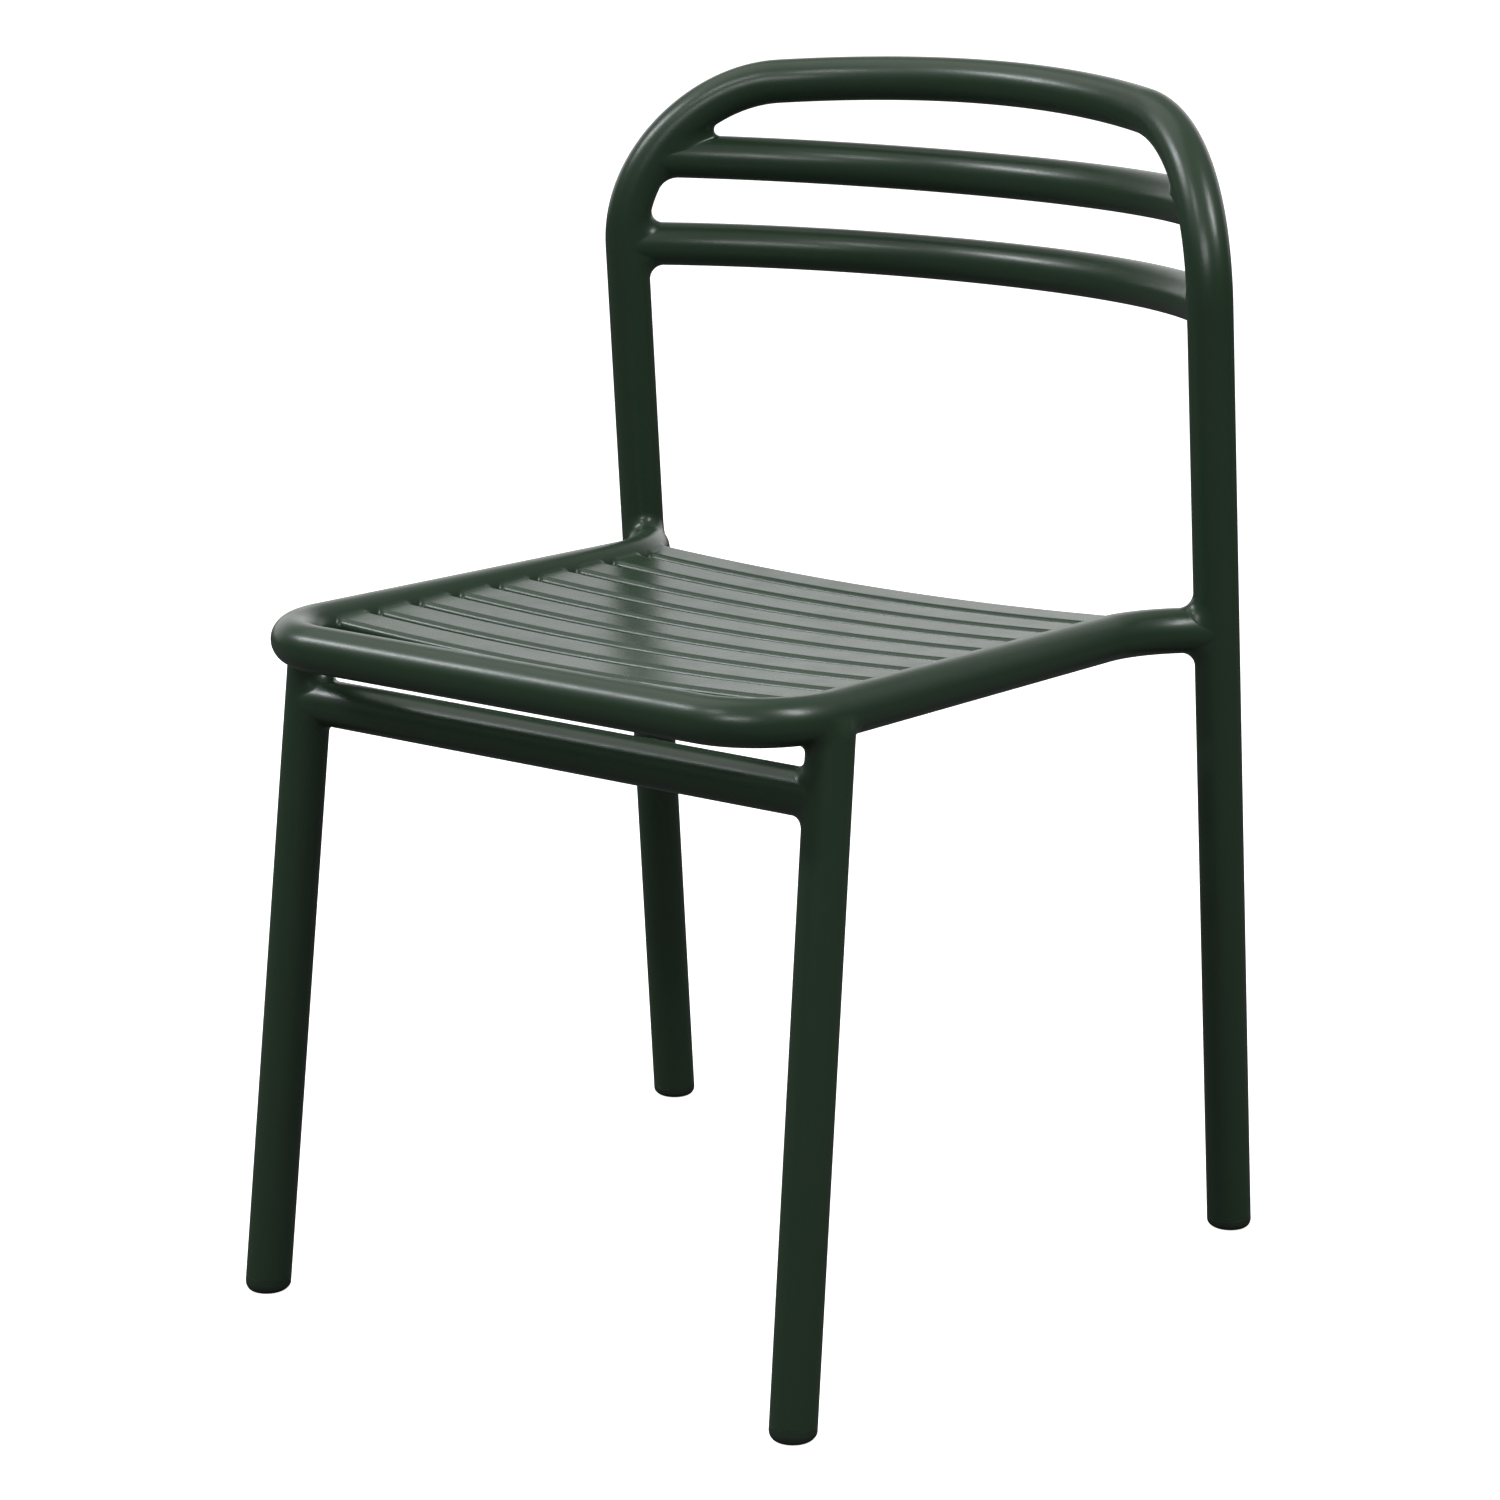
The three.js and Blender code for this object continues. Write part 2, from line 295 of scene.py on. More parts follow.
def tube(name, path, startSkins=(), endSkins=()):
    outer = roundSection(tubeStock["radius"], tubeStock["sides"])
    inner = roundSection(tubeStock["radius"] - tubeStock["wall"], tubeStock["sides"])
    return barMesh(name, path, outer, inner, rowsFor(path), startSkins, endSkins)


def finishPiece(piece, nodes, material):
    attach(piece, "root")
    if nodes:
        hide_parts(*nodes)
    piece.data.materials.append(material)
    return piece


# centrelines

hoop = {
    "footX": 0.238,
    "footY": 0.2163,
    "rake": 0.0834,  # forward travel per unit of height
    "shoulderX": 0.236,
    "crownZ": 0.7605,
    "crownDrop": 0.0151,
    "crownBow": 0.1048,
    "shoulderDown": 0.105,
    "shoulderIn": 0.088,
}

backRails = {
    "upperZ": 0.7026,
    "lowerZ": 0.6412,
    "sag": 0.0058,
    "weldLeg": 0.010,
    "weldRipple": 0.00004,
}

seatFrame = {
    "frontY": -0.2679,
    "frontZ": 0.4426,
    "frontX": 0.201,
    "rearX": 0.1984,
    "fall": 0.0407,
    "cornerAcross": 0.052,
    "cornerBack": 0.0605,
    "flareStartY": 0.1039,
    "flareRadius": 0.097,
    "flareAngle": 50.0,
    "weldLeg": 0.010,
    "weldRipple": 0.00005,
}

frontLegs = {
    "top": (0.2044, -0.2117, 0.4334),
    "foot": (0.2132, -0.2615, 0.0),
    "weldLeg": 0.009,
    "weldRipple": 0.00002,
}

frontApron = {"height": 0.3926, "weldLeg": 0.008, "weldRipple": 0.00003}

seatSlats = {
    "count": 9,
    "width": 0.030,
    "thickness": 0.010,
    "wall": 0.0015,
    "firstY": -0.1928,
    "pitch": 0.0409,
    "topRise": 0.0081,
    "dish": 0.0068,
    "edgeSteps": 12,
    "weldLeg": 0.0034,
    "weldRipple": 0.0,
}


def legLineX(z):
    shoulderZ = hoop["crownZ"] - hoop["crownDrop"]
    return hoop["footX"] + (hoop["shoulderX"] - hoop["footX"]) * z / shoulderZ


def bowAt(x):
    half, bow = hoop["shoulderX"], hoop["crownBow"]
    radius = (half * half + bow * bow) / (2 * bow)
    return np.sqrt(radius * radius - x * x) - (radius - bow)


# the back's surface: raked with the legs and bowed back between them
def backY(x, z):
    return hoop["footY"] - hoop["rake"] * z + bowAt(x) - bowAt(legLineX(z))


def crownHeight(x):
    return hoop["crownZ"] - hoop["crownDrop"] * (x / hoop["shoulderX"]) ** 2


# the hoop seen from the front, foot to the middle of the crown, as (x, z)
def hoopOutline():
    foot = np.array([hoop["footX"], 0.0])
    shoulder = np.array([hoop["shoulderX"], hoop["crownZ"] - hoop["crownDrop"]])
    bendStart = shoulder - unit(shoulder - foot) * hoop["shoulderDown"]
    endX = hoop["shoulderX"] - hoop["shoulderIn"]
    slope = -2 * hoop["crownDrop"] * endX / hoop["shoulderX"] ** 2
    corner = (hoop["shoulderX"], crownHeight(endX) + slope * hoop["shoulderIn"])
    bendEnd = (endX, crownHeight(endX))
    leg = np.linspace(foot, bendStart, 400)
    crownX = np.linspace(endX, 0, 200)
    crown = np.stack([crownX, crownHeight(crownX)], 1)
    return np.concatenate([leg, bend(bendStart, corner, bendEnd, 160)[1:], crown[1:]])


def hoopPath():
    outline = hoopOutline()
    x, z = outline[:, 0], outline[:, 1]
    return pathOf(bothSides(np.stack([x, backY(x, z), z], 1)))


def backRailPath(z):
    outline = hoopOutline()
    end = np.interp(z, outline[:, 1], outline[:, 0])
    share = np.linspace(1, -1, 401)
    sagged = z - backRails["sag"] * (1 - share**2)
    return pathOf(np.stack([end * share, backY(end * share, z), sagged], 1))


def seatRailZ(y):
    return seatFrame["frontZ"] - seatFrame["fall"] * (y - seatFrame["frontY"])


def sideRailX(y):
    straight = (y - seatFrame["frontY"]) / (seatFrame["flareStartY"] - seatFrame["frontY"])
    x = seatFrame["frontX"] + (seatFrame["rearX"] - seatFrame["frontX"]) * straight
    angle = np.arcsin(np.maximum(0, y - seatFrame["flareStartY"]) / seatFrame["flareRadius"])
    flared = seatFrame["rearX"] + seatFrame["flareRadius"] * (1 - np.cos(angle))
    return np.where(y > seatFrame["flareStartY"], flared, x)


def seatFramePath():
    angle = np.radians(np.linspace(seatFrame["flareAngle"], 0, 120))
    flareY = seatFrame["flareStartY"] + seatFrame["flareRadius"] * np.sin(angle)
    flare = np.stack([sideRailX(flareY), flareY], 1)
    cornerY = seatFrame["frontY"] + seatFrame["cornerBack"]
    cornerStart = (float(sideRailX(cornerY)), cornerY)
    corner = (seatFrame["frontX"], seatFrame["frontY"])
    cornerEnd = (seatFrame["frontX"] - seatFrame["cornerAcross"], seatFrame["frontY"])
    straight = np.linspace(flare[-1], cornerStart, 200)[1:]
    front = np.linspace(cornerEnd, (0, seatFrame["frontY"]), 100)[1:]
    frontCorner = bend(cornerStart, corner, cornerEnd, 120)[1:]
    outline = np.concatenate([flare, straight, frontCorner, front])
    x, y = outline[:, 0], outline[:, 1]
    return pathOf(bothSides(np.stack([x, y, seatRailZ(y)], 1)))


def frontLegPath(side):
    turn = np.array([side, 1.0, 1.0])
    top, foot = np.array(frontLegs["top"]) * turn, np.array(frontLegs["foot"]) * turn
    return pathOf(np.linspace(top, foot, 50))


def apronPath():
    foot, top = np.array(frontLegs["foot"]), np.array(frontLegs["top"])
    end = foot + (top - foot) * frontApron["height"] / top[2]
    return pathOf(np.linspace(end, end * [-1, 1, 1], 60))


def slatPath(y):
    half = float(sideRailX(np.array(y)))
    endZ = seatRailZ(y) + seatSlats["topRise"] - seatSlats["thickness"] / 2
    share = np.linspace(1, -1, 301)
    z = endZ - seatSlats["dish"] * (1 - share**2)
    return pathOf(np.stack([half * share, np.full(301, y), z], 1))


hoopLine = hoopPath()
seatLine = seatFramePath()
print("centrelines laid out")


# weld beads: a smooth valley between two skins, laid as a closed ring

welds = {
    "sides": 300,  # stations round the joint
    "bands": 24,  # rows across the bead
    "meetStep": 0.0003,  # step of the search for the neighbour
    "offset": 0.004,  # lowers the bead where the branch passes beside its neighbour
    "grazing": (0.6, 0.95),  # how nearly the skins must face one way to count as side by side
    "widest": 172.0,  # the most that two skins may open from each other
    "square": 0.7071,  # sine of half a right angle, the corner where a bead has its plain width
    "closedGain": 1.4,  # how much wider a bead may grow in a closed corner
    "sideOn": 0.35,  # how much of it is left where the two skins run together
    "sideOnFrom": 105.0,
    "sideOnTo": 170.0,
    "handle": (0.2, 0.67),  # shortest and longest handle of the bead's curve
    "proud": 0.00003,  # the bead stands this far off the skins
    "toeDive": 0.00018,  # and its toes dive this far under them
    "toeFrom": 0.80,  # the toes begin here, counted from the bead's middle
    "ripples": 35,
    "root": 0.0011,
}


def roundTheRing(values, times):
    for _ in range(times):
        values = 0.25 * np.roll(values, 1, 0) + 0.5 * values + 0.25 * np.roll(values, -1, 0)
    return values


# where each line of the branch meets the neighbour's skin
def meetingRuns(path, section, skin, reach):
    runs = np.arange(reach, -tubeStock["overrun"], -welds["meetStep"])
    gap = skin(barPoints(path, runs[:, None], section))[0]
    meet, met, beside = crossingRuns(runs, gap, 0)
    return roundTheRing(meet + welds["offset"] * beside, 6), beside


def flatOn(direction, normal):
    return unit(direction - normal * dot(direction, normal)[..., None])


# fuller in closed corners, and slight where the skins run together
def beadWidth(opening, beside, leg):
    half = np.minimum(opening, math.pi / 2) / 2
    closed = np.minimum(welds["square"] / np.sin(half), welds["closedGain"])
    start, end = math.radians(welds["sideOnFrom"]), math.radians(welds["sideOnTo"])
    flat = 1 - (1 - welds["sideOn"]) * smoothStep(opening, start, end)
    return roundTheRing(leg * closed * np.maximum(flat, beside), 12)


# handles that make the curve between two skins as round as their opening lets it be
def beadHandle(opening):
    handle = 4 / 3 * np.tan((math.pi - opening) / 4) * np.tan(opening / 2)
    return roundTheRing(np.clip(handle, *welds["handle"]), 12)[:, None]


# the edge rows take the skins' own normals, so the shading runs on over the toes
def beadNormals(points, outward, edgeA, edgeB):
    across = np.gradient(points, axis=0, edge_order=2)
    around = np.roll(points, -1, 1) - np.roll(points, 1, 1)
    normals = unit(np.cross(across, around))
    if (dot(normals[0], outward) < 0).mean() > 0.5:
        normals = -normals
    normals[0] = edgeA
    normals[-1] = edgeB
    return normals


# toes that dive under the skins, and faint ripples between them
def beadLift(t, stations, ripple):
    lift = welds["proud"] - welds["toeDive"] * smoothStep(np.abs(2 * t - 1), welds["toeFrom"], 1.0)
    if ripple:
        angle = np.arange(stations)[None, :, None] / stations * 2 * math.pi
        wave = np.sin(angle * welds["ripples"] + 9 * (t - 0.5) ** 2)
        lift = lift + ripple * 4 * t * (1 - t) * wave
    return lift


# the rows and the strip that closes them behind, all facing outwards
def beadFaces(points, normals):
    count, ring = points.shape[:2]
    faces = ringFaces(count, ring)
    for i in range(ring):
        j = (i + 1) % ring
        faces.append(((count - 1) * ring + i, (count - 1) * ring + j, j, i))
    sample = faces[ring * (count // 2)]
    a, b, c = points.reshape(-1, 3)[list(sample[:3])]
    if dot(np.cross(b - a, c - a), normals.reshape(-1, 3)[sample[0]]) < 0:
        faces = [f[::-1] for f in faces]
    return faces


# a round valley from the branch's skin to the neighbour's, tangent to both
def weldBead(name, path, section, skinA, skinB, reach, sizes):
    outward, axis = barNormals(path, 0.02, section), along(path, 0.01, "tangent")
    meet, beside = meetingRuns(path, section, skinB, reach)
    corner = barPoints(path, meet, section)
    skinOut = skinB(corner)[1]
    grazing = smoothStep(dot(outward, skinOut), *welds["grazing"])[:, None]
    away = flatOn(outward - axis * grazing, skinOut)
    opening = np.arccos(np.clip(dot(away, axis[None]), -1, 1))
    opening = np.minimum(opening, math.radians(welds["widest"]))
    width = beadWidth(opening, beside, sizes["weldLeg"])
    startA = barPoints(path, meet + width, section)
    endB = corner + away * width[:, None]
    for _ in range(5):  # settles the far edge on the neighbour's skin
        gap, normal = skinB(endB)
        endB = endB - normal * gap[:, None]
    handle = beadHandle(opening)
    outB = skinB(endB)[1]
    intoA, intoB = flatOn(corner - startA, outward), flatOn(corner - endB, outB)
    handleA = startA + intoA * handle * np.linalg.norm(corner - startA, axis=1)[:, None]
    handleB = endB + intoB * handle * np.linalg.norm(corner - endB, axis=1)[:, None]
    t = np.linspace(0, 1, welds["bands"] + 1)[:, None, None]
    points = cubic(startA, handleA, handleB, endB, t)
    normals = beadNormals(points, outward, skinA(startA)[1], outB)
    points = points + normals * beadLift(t, len(meet), sizes["weldRipple"])
    middle, rootOut = points[welds["bands"] // 2], normals[welds["bands"] // 2]
    depth = np.maximum(dot(middle - corner, rootOut), 0) + welds["root"]
    points = np.concatenate([points, (middle - rootOut * depth[:, None])[None]])
    normals = np.concatenate([normals, -rootOut[None]])
    faces = beadFaces(points, normals)
    return meshOf(name, points.reshape(-1, 3), faces, normals.reshape(-1, 3))


def tubeWeld(name, branch, atStart, skinB, sizes):
    path = branch if atStart else pathOf(branch["points"][::-1])
    section = roundSection(tubeStock["radius"], welds["sides"])

    def skinA(points):
        return tubeSkin(path, points, 0, min(0.12, path["run"][-1]))

    return weldBead(name, path, section, skinA, skinB, 0.06, sizes)


# materials

powderCoat = {
    "colour": (0.0240, 0.0480, 0.0262),
    "colourDeep": (0.0195, 0.0410, 0.0215),
    "roughness": 0.27,
    "roughnessSpread": 0.06,
    "grainSize": 0.0007,
    "grainDepth": 0.07,
    "specular": 0.5,
}

slatCoat = {
    "colour": (0.0260, 0.0520, 0.0290),
    "colourDeep": (0.0215, 0.0445, 0.0240),
    "roughness": 0.25,
    "roughnessSpread": 0.05,
    "grainSize": 0.0006,
    "grainDepth": 0.06,
    "specular": 0.5,
}

glidePlastic = {
    "colour": (0.0200, 0.0360, 0.0220),
    "colourDeep": (0.0160, 0.0300, 0.0180),
    "roughness": 0.42,
    "roughnessSpread": 0.10,
    "grainSize": 0.0005,
    "grainDepth": 0.06,
    "specular": 0.45,
}


powderTexture = {
    "grainShare": 0.6,  # weight of the tight grain against the peel
    "peelScale": 0.22,  # the peel is this much slower than the grain
    "fleckScale": 1.7,
    "driftScale": 7.0,
    "hazeScale": 34.0,
    "hazeFrom": 0.45,
    "hazeTo": 0.75,
    "driftTint": 0.6,
    "fleckTint": 0.6,
    "bumpReach": 0.0006,
}


def newGroup(name, inputs, outputs):
    group = bpy.data.node_groups.new(name, "ShaderNodeTree")
    for label, kind, value in inputs:
        socket = group.interface.new_socket(name=label, in_out="INPUT", socket_type=kind)
        socket.default_value = value
    for label, kind in outputs:
        group.interface.new_socket(name=label, in_out="OUTPUT", socket_type=kind)
    return group, group.nodes.new("NodeGroupInput"), group.nodes.new("NodeGroupOutput")


def mathNode(tree, operation, a, b=None):
    node = tree.nodes.new("ShaderNodeMath")
    node.operation = operation
    for i, value in enumerate((a, b)):
        if value is None:
            continue
        if hasattr(value, "is_output"):
            tree.links.new(value, node.inputs[i])
        else:
            node.inputs[i].default_value = value
    return node.outputs[0]


def noiseNode(tree, vector, scale, detail, roughness):
    node = tree.nodes.new("ShaderNodeTexNoise")
    tree.links.new(vector, node.inputs["Vector"])
    if hasattr(scale, "is_output"):
        tree.links.new(scale, node.inputs["Scale"])
    else:
        node.inputs["Scale"].default_value = scale
    node.inputs["Detail"].default_value = detail
    node.inputs["Roughness"].default_value = roughness
    return node.outputs["Fac"]


# fine cured texture: tight grain over a slow orange peel
def powderGrainGroup():
    group, given, out = newGroup(
        "powder grain",
        [("Vector", "NodeSocketVector", (0, 0, 0)), ("Grain Size", "NodeSocketFloat", 0.0008)],
        [("Height", "NodeSocketFloat"), ("Fleck", "NodeSocketFloat")],
    )
    scale = mathNode(group, "DIVIDE", 1.0, given.outputs["Grain Size"])
    grain = noiseNode(group, given.outputs["Vector"], scale, 2.0, 0.55)
    peelScale = mathNode(group, "MULTIPLY", scale, powderTexture["peelScale"])
    peel = noiseNode(group, given.outputs["Vector"], peelScale, 1.0, 0.5)
    tight = mathNode(group, "MULTIPLY", grain, powderTexture["grainShare"])
    group.links.new(mathNode(group, "ADD", tight, peel), out.inputs["Height"])
    fleckScale = mathNode(group, "MULTIPLY", scale, powderTexture["fleckScale"])
    fleck = noiseNode(group, given.outputs["Vector"], fleckScale, 1.0, 0.6)
    group.links.new(fleck, out.inputs["Fleck"])
    return group


# slow changes of film thickness over tens of centimetres, and faint handling haze
def filmDriftGroup():
    group, given, out = newGroup(
        "film drift",
        [("Vector", "NodeSocketVector", (0, 0, 0))],
        [("Thickness", "NodeSocketFloat"), ("Haze", "NodeSocketFloat")],
    )
    slow = noiseNode(group, given.outputs["Vector"], powderTexture["driftScale"], 2.0, 0.5)
    group.links.new(slow, out.inputs["Thickness"])
    haze = noiseNode(group, given.outputs["Vector"], powderTexture["hazeScale"], 4.0, 0.65)
    ramp = group.nodes.new("ShaderNodeMapRange")
    ramp.inputs["From Min"].default_value = powderTexture["hazeFrom"]
    ramp.inputs["From Max"].default_value = powderTexture["hazeTo"]
    group.links.new(haze, ramp.inputs["Value"])
    group.links.new(ramp.outputs["Result"], out.inputs["Haze"])
    return group


grainGroup = powderGrainGroup()
driftGroup = filmDriftGroup()


def coatMaterial(name, look):
    material = bpy.data.materials.new(name)
    material.use_nodes = True
    tree = material.node_tree
    tree.nodes.clear()
    place = tree.nodes.new("ShaderNodeTexCoord")
    grain = tree.nodes.new("ShaderNodeGroup")
    grain.node_tree = grainGroup
    grain.inputs["Grain Size"].default_value = look["grainSize"]
    drift = tree.nodes.new("ShaderNodeGroup")
    drift.node_tree = driftGroup
    tree.links.new(place.outputs["Object"], grain.inputs["Vector"])
    tree.links.new(place.outputs["Object"], drift.inputs["Vector"])
    mixer = tree.nodes.new("ShaderNodeMix")
    mixer.data_type = "RGBA"  # its colour sockets are inputs 6 and 7 and output 2
    mixer.inputs[6].default_value = (*look["colourDeep"], 1)
    mixer.inputs[7].default_value = (*look["colour"], 1)
    drifting = mathNode(tree, "MULTIPLY", drift.outputs["Thickness"], powderTexture["driftTint"])
    flecked = mathNode(tree, "MULTIPLY", grain.outputs["Fleck"], powderTexture["fleckTint"])
    tree.links.new(mathNode(tree, "ADD", drifting, flecked), mixer.inputs[0])
    shader = tree.nodes.new("ShaderNodeBsdfPrincipled")
    tree.links.new(mixer.outputs[2], shader.inputs["Base Color"])
    spread = mathNode(tree, "MULTIPLY", drift.outputs["Haze"], look["roughnessSpread"])
    fleckSpread = mathNode(tree, "MULTIPLY", grain.outputs["Fleck"], look["roughnessSpread"])
    rough = mathNode(tree, "ADD", mathNode(tree, "ADD", spread, fleckSpread), look["roughness"])
    tree.links.new(rough, shader.inputs["Roughness"])
    shader.inputs["Specular IOR Level"].default_value = look["specular"]
    bump = tree.nodes.new("ShaderNodeBump")
    bump.inputs["Strength"].default_value = look["grainDepth"]
    bump.inputs["Distance"].default_value = powderTexture["bumpReach"]
    tree.links.new(grain.outputs["Height"], bump.inputs["Height"])
    tree.links.new(bump.outputs["Normal"], shader.inputs["Normal"])
    output = tree.nodes.new("ShaderNodeOutputMaterial")
    tree.links.new(shader.outputs["BSDF"], output.inputs["Surface"])
    return material


tubeCoat = coatMaterial("satin powder coat on tube", powderCoat)
slatFinish = coatMaterial("satin powder coat on slats", slatCoat)
glideFinish = coatMaterial("moulded glide plastic", glidePlastic)
print("finishes mixed")


# the frame's tubes

def hoopSkin(points):
    return tubeSkin(hoopLine, points)


def seatSkin(points):
    return tubeSkin(seatLine, points)


glide = {
    "head": 0.009,
    "edge": 0.0055,
    "seam": 0.0002,
    "stem": 0.018,
    "stemGap": 0.0003,  # slack between the stem and the bore
    "soleHollow": 0.0006,
    "sharpFrom": 38.0,
    "steps": 96,
}


def trimmedToGlides(path, bothEnds):
    start = glide["head"] if bothEnds else 0
    keep = (path["run"] >= start) & (path["run"] <= path["run"][-1] - glide["head"])
    points = path["points"][keep]
    last = path["points"][-1] - path["tangent"][-1] * glide["head"]
    points = np.concatenate([points, last[None]])
    if bothEnds:
        first = path["points"][0] + path["tangent"][0] * glide["head"]
        points = np.concatenate([first[None], points])
    return pathOf(points)


finishPiece(tube("hoop_tube", trimmedToGlides(hoopLine, True)), ["back_hoop"], tubeCoat)

for rail, z in (("upper", backRails["upperZ"]), ("lower", backRails["lowerZ"])):
    path = backRailPath(z)
    piece = tube(rail + "_rail_tube", path, [hoopSkin], [hoopSkin])
    finishPiece(piece, [rail + "_back_rail"], tubeCoat)
    for side, atStart in (("left", True), ("right", False)):
        bead = tubeWeld("weld_" + rail + "_rail_" + side, path, atStart, hoopSkin, backRails)
        finishPiece(bead, [], tubeCoat)

piece = tube("seat_frame_tube", seatLine, [hoopSkin], [hoopSkin])
finishPiece(piece, ["seat_frame"], tubeCoat)
for side, atStart in (("left", True), ("right", False)):
    bead = tubeWeld("weld_seat_rail_" + side, seatLine, atStart, hoopSkin, seatFrame)
    finishPiece(bead, [], tubeCoat)

legLines = {}
for side, sign in (("left", 1), ("right", -1)):
    path = frontLegPath(sign)
    legLines[side] = path
    leg = tube("front_leg_tube_" + side, trimmedToGlides(path, False), [seatSkin])
    finishPiece(leg, ["front_leg_" + side], tubeCoat)
    bead = tubeWeld("weld_front_leg_" + side, path, True, seatSkin, frontLegs)
    finishPiece(bead, [], tubeCoat)


def legSkin(side):
    return lambda points: tubeSkin(legLines[side], points)


apron = apronPath()
piece = tube("apron_tube", apron, [legSkin("left")], [legSkin("right")])
finishPiece(piece, ["front_apron"], tubeCoat)
for side, atStart in (("left", True), ("right", False)):
    bead = tubeWeld("weld_apron_" + side, apron, atStart, legSkin(side), frontApron)
    finishPiece(bead, [], tubeCoat)
print("tubes bent, coped and welded")


# seat slats

def flatOval(width, thickness, edgeSteps, flatSteps=8):
    radius = thickness / 2
    half = width / 2 - radius
    across, up, nAcross, nUp = [], [], [], []
    for side in (1, -1):
        for i in range(edgeSteps + 1):
            angle = (i / edgeSteps - 0.5) * math.pi
            c, s = math.cos(angle), math.sin(angle)
            across.append(side * (half + radius * c))
            up.append(side * radius * s)
            nAcross.append(side * c)
            nUp.append(side * s)
        for i in range(1, flatSteps):
            across.append(side * half * (1 - 2 * i / flatSteps))
            up.append(side * radius)
            nAcross.append(0.0)
            nUp.append(float(side))
    return tuple(np.array(v) for v in (across, up, nAcross, nUp))


# distance to a slat's outer skin, and the skin's outward direction there
def slatSkin(path, y):
    half = seatSlats["width"] / 2 - seatSlats["thickness"] / 2
    order = np.argsort(path["points"][:, 0])
    lineX, lineZ = path["points"][order, 0], path["points"][order, 2]
    slope = np.gradient(lineZ, lineX)

    def skin(points):
        x = np.clip(points[..., 0], lineX[0], lineX[-1])
        lean = np.interp(x, lineX, slope)
        flat = 1 / np.sqrt(1 + lean**2)
        up = (points[..., 2] - np.interp(x, lineX, lineZ)) * flat
        across = points[..., 1] - y
        past = across - np.clip(across, -half, half)
        gap = np.sqrt(past**2 + up**2)
        out = np.stack([-up * lean * flat, past, up * flat], -1)
        return gap - seatSlats["thickness"] / 2, unit(out)

    return skin


def slatWeld(name, path, y, atStart):
    line = path if atStart else pathOf(path["points"][::-1])
    section = flatOval(seatSlats["width"], seatSlats["thickness"], 28, 40)
    return weldBead(name, line, section, slatSkin(line, y), seatSkin, 0.03, seatSlats)


slatOuter = flatOval(seatSlats["width"], seatSlats["thickness"], seatSlats["edgeSteps"])
slatInner = flatOval(
    seatSlats["width"] - 2 * seatSlats["wall"],
    seatSlats["thickness"] - 2 * seatSlats["wall"],
    seatSlats["edgeSteps"],
)
for number in range(seatSlats["count"]):
    y = seatSlats["firstY"] + number * seatSlats["pitch"]
    path = slatPath(y)
    rows = rowsFor(path, coarse=0.012, fine=0.003)
    label = "%02d" % (number + 1)
    bar = barMesh("slat_bar_" + label, path, slatOuter, slatInner, rows, [seatSkin], [seatSkin])
    finishPiece(bar, ["seat_slat_" + label], slatFinish)
    for side, atStart in (("left", True), ("right", False)):
        bead = slatWeld("weld_slat_" + label + "_" + side, path, y, atStart)
        finishPiece(bead, [], tubeCoat)
print("slats dished and welded in")


# foot glides, turned round the leg's axis

# radius and height from the sole's middle to the top of the stem
def glideProfile():
    r = tubeStock["radius"]
    stem = r - tubeStock["wall"] - glide["stemGap"]
    edge, head, hollow = glide["edge"], glide["head"], glide["soleHollow"]
    profile = [(0.0, hollow), (0.0030, hollow), (0.0036, 0.0)]
    profile += [(0.0062, 0.0), (0.0066, 0.0004), (0.0074, 0.0004), (0.0078, 0.0)]  # a groove in the sole
    for i in range(13):
        angle = (i / 12 - 1) * math.pi / 2
        profile.append((r - edge + edge * math.cos(angle), edge + edge * math.sin(angle)))
    top = head - glide["seam"]
    profile += [(r, top - 0.0002), (r - 0.0001, top - 0.0001), (r - 0.0003, top)]
    profile += [(stem, top), (stem, head + glide["stem"]), (0.0, head + glide["stem"])]
    return np.array(profile)


# the turned rows, with the sole sheared level so the foot stands flat on a raked leg
def glideRows(profile, foot, up):
    angle = np.arange(glide["steps"]) / glide["steps"] * 2 * math.pi
    side = unit(np.cross(up, np.array([0, 1.0, 0])))
    front = np.cross(side, up)
    ring = side * np.cos(angle)[:, None] + front * np.sin(angle)[:, None]
    rows = []
    for radius, height in profile[1:-1]:
        point = foot + ring * radius + up * height
        levelled = 1 - smoothStep(np.array(height), 0.0, glide["head"] - 0.001)
        point[:, 2] += (height - point[:, 2]) * levelled
        rows.append(point)
    return rows


def glidePiece(name, foot, up):
    profile = glideProfile()
    rows = glideRows(profile, foot, up)
    steps = glide["steps"]
    sole, tip = foot + np.array([0, 0, glide["soleHollow"]]), foot + up * profile[-1][1]
    vertices = np.concatenate([sole[None]] + rows + [tip[None]])
    base = 1 + (len(rows) - 1) * steps
    pairs = [(i, (i + 1) % steps) for i in range(steps)]
    faces = [(0, 1 + j, 1 + i) for i, j in pairs]
    faces += ringFaces(len(rows), steps, 1)
    faces += [(base + i, base + j, len(vertices) - 1) for i, j in pairs]
    piece = meshOf(name, vertices, faces)
    piece.data.set_sharp_from_angle(angle=math.radians(glide["sharpFrom"]))
    return piece


rearUp = unit(hoopLine["tangent"][0])
for side, sign in (("left", 1), ("right", -1)):
    turn = np.array([sign, 1.0, 1.0])
    foot = np.array([hoop["footX"], hoop["footY"], 0.0]) * turn
    piece = glidePiece("rear_glide_cap_" + side, foot, rearUp * turn)
    finishPiece(piece, ["rear_glide_" + side], glideFinish)
    foot = np.array(frontLegs["foot"]) * turn
    up = unit(np.array(frontLegs["top"]) - np.array(frontLegs["foot"])) * turn
    piece = glidePiece("front_glide_cap_" + side, foot, up)
    finishPiece(piece, ["front_glide_" + side], glideFinish)
print("glides fitted")


# floor, light and camera

